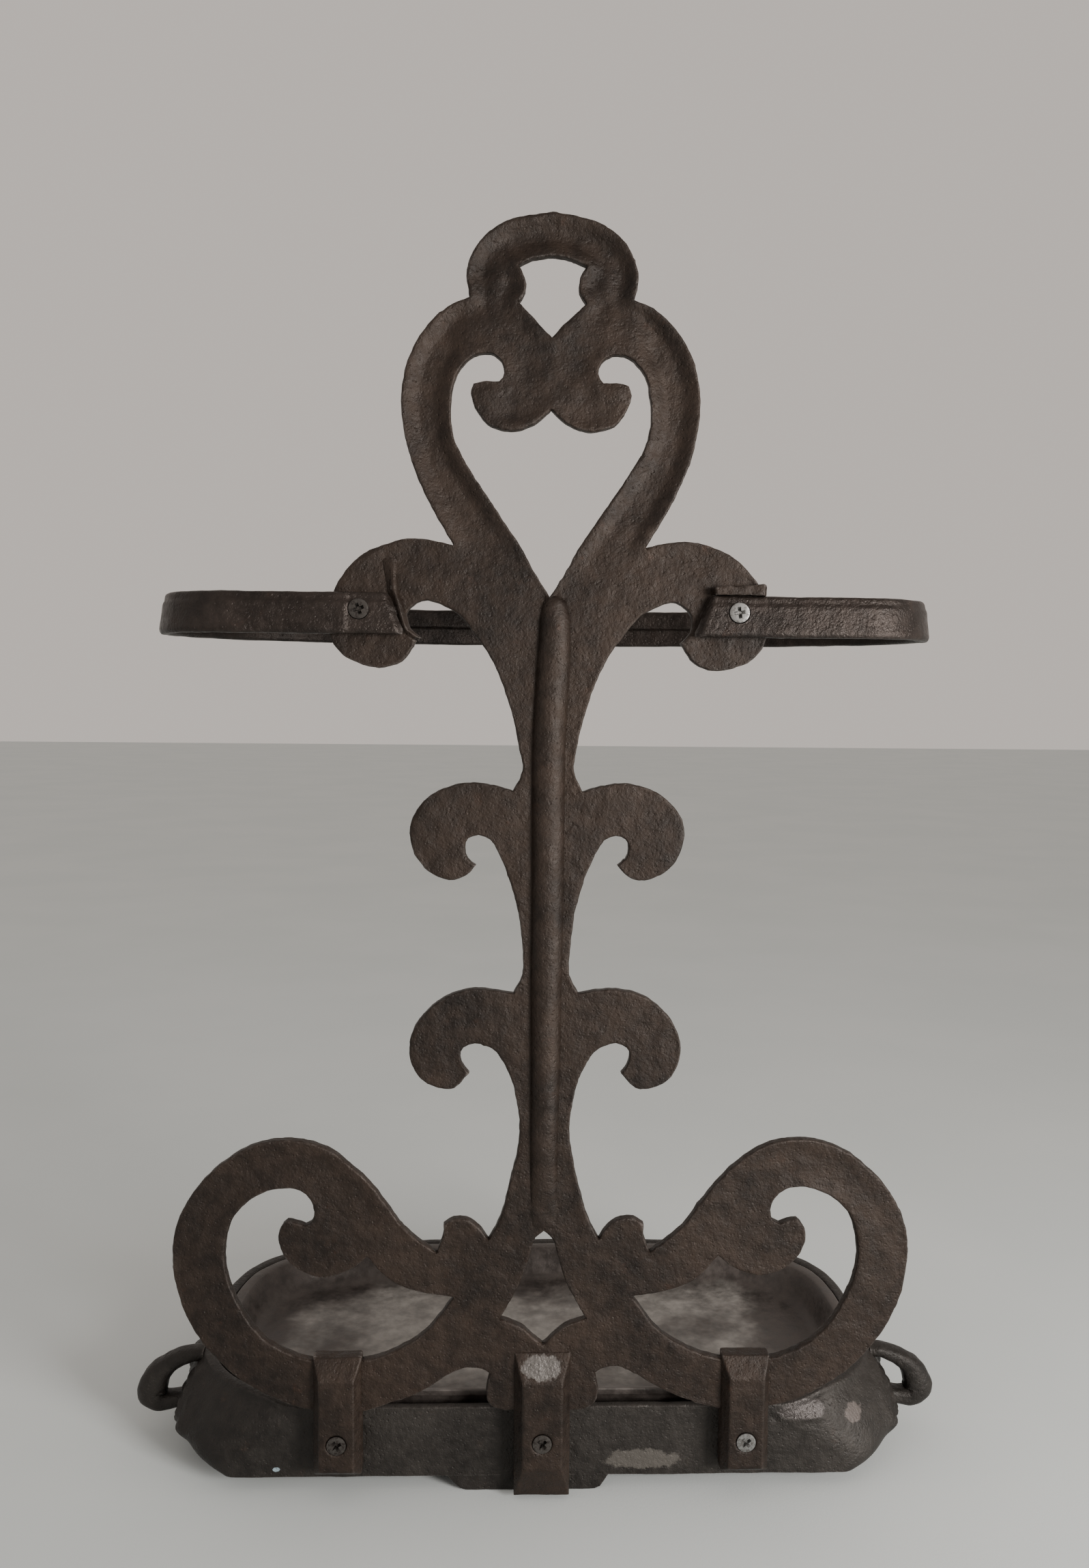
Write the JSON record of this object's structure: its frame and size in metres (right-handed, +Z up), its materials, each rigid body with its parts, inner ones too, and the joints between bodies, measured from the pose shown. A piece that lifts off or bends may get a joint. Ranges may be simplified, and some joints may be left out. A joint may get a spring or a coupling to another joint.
{
  "type": "umbrella stand",
  "caption": "Cast-iron scroll-back umbrella stand: a heart-and-scroll back frame carries a flat-bar hoop above a bowed base with end handles and a lift-out drip tray.",
  "frame": {"origin": "centre of the footprint box on the floor", "axes": "+Z up; the flat back of the frame faces -Y; the tray and hoop reach forward to +Y; +X is to the right seen from the back"},
  "size_m": [0.4316, 0.21, 0.6245],
  "materials": {
    "frame_iron": "old dark brown-black cast iron, sand-cast skin, dull wax sheen",
    "ring_iron": "dark brown-black cast iron, slightly smoother",
    "base_iron": "near-black cast iron with worn grey patches on the edges",
    "tray_iron": "dark cast iron worn to blotchy silver-grey on the floor and rim",
    "dark_steel": "blackened steel",
    "zinc_steel": "dull grey zinc plate"
  },
  "bodies": {
    "stand": {"back_frame": "frame_iron", "umbrella_ring": "ring_iron", "base_casting": "base_iron", "ring_screw_left": "dark_steel", "ring_screw_right": "zinc_steel", "ring_nut_left": "dark_steel", "ring_nut_right": "dark_steel", "base_screw_left": "dark_steel", "base_screw_centre": "dark_steel", "base_screw_right": "zinc_steel", "base_nut_left": "dark_steel", "base_nut_centre": "dark_steel", "base_nut_right": "dark_steel"},
    "tray": {"drip_tray": "tray_iron"}
  },
  "joints": [
    {"name": "tray_lift", "type": "slide", "parent": "stand", "child": "tray", "axis": [0, 0, 1], "range_m": [0, 0.36]}
  ]
}
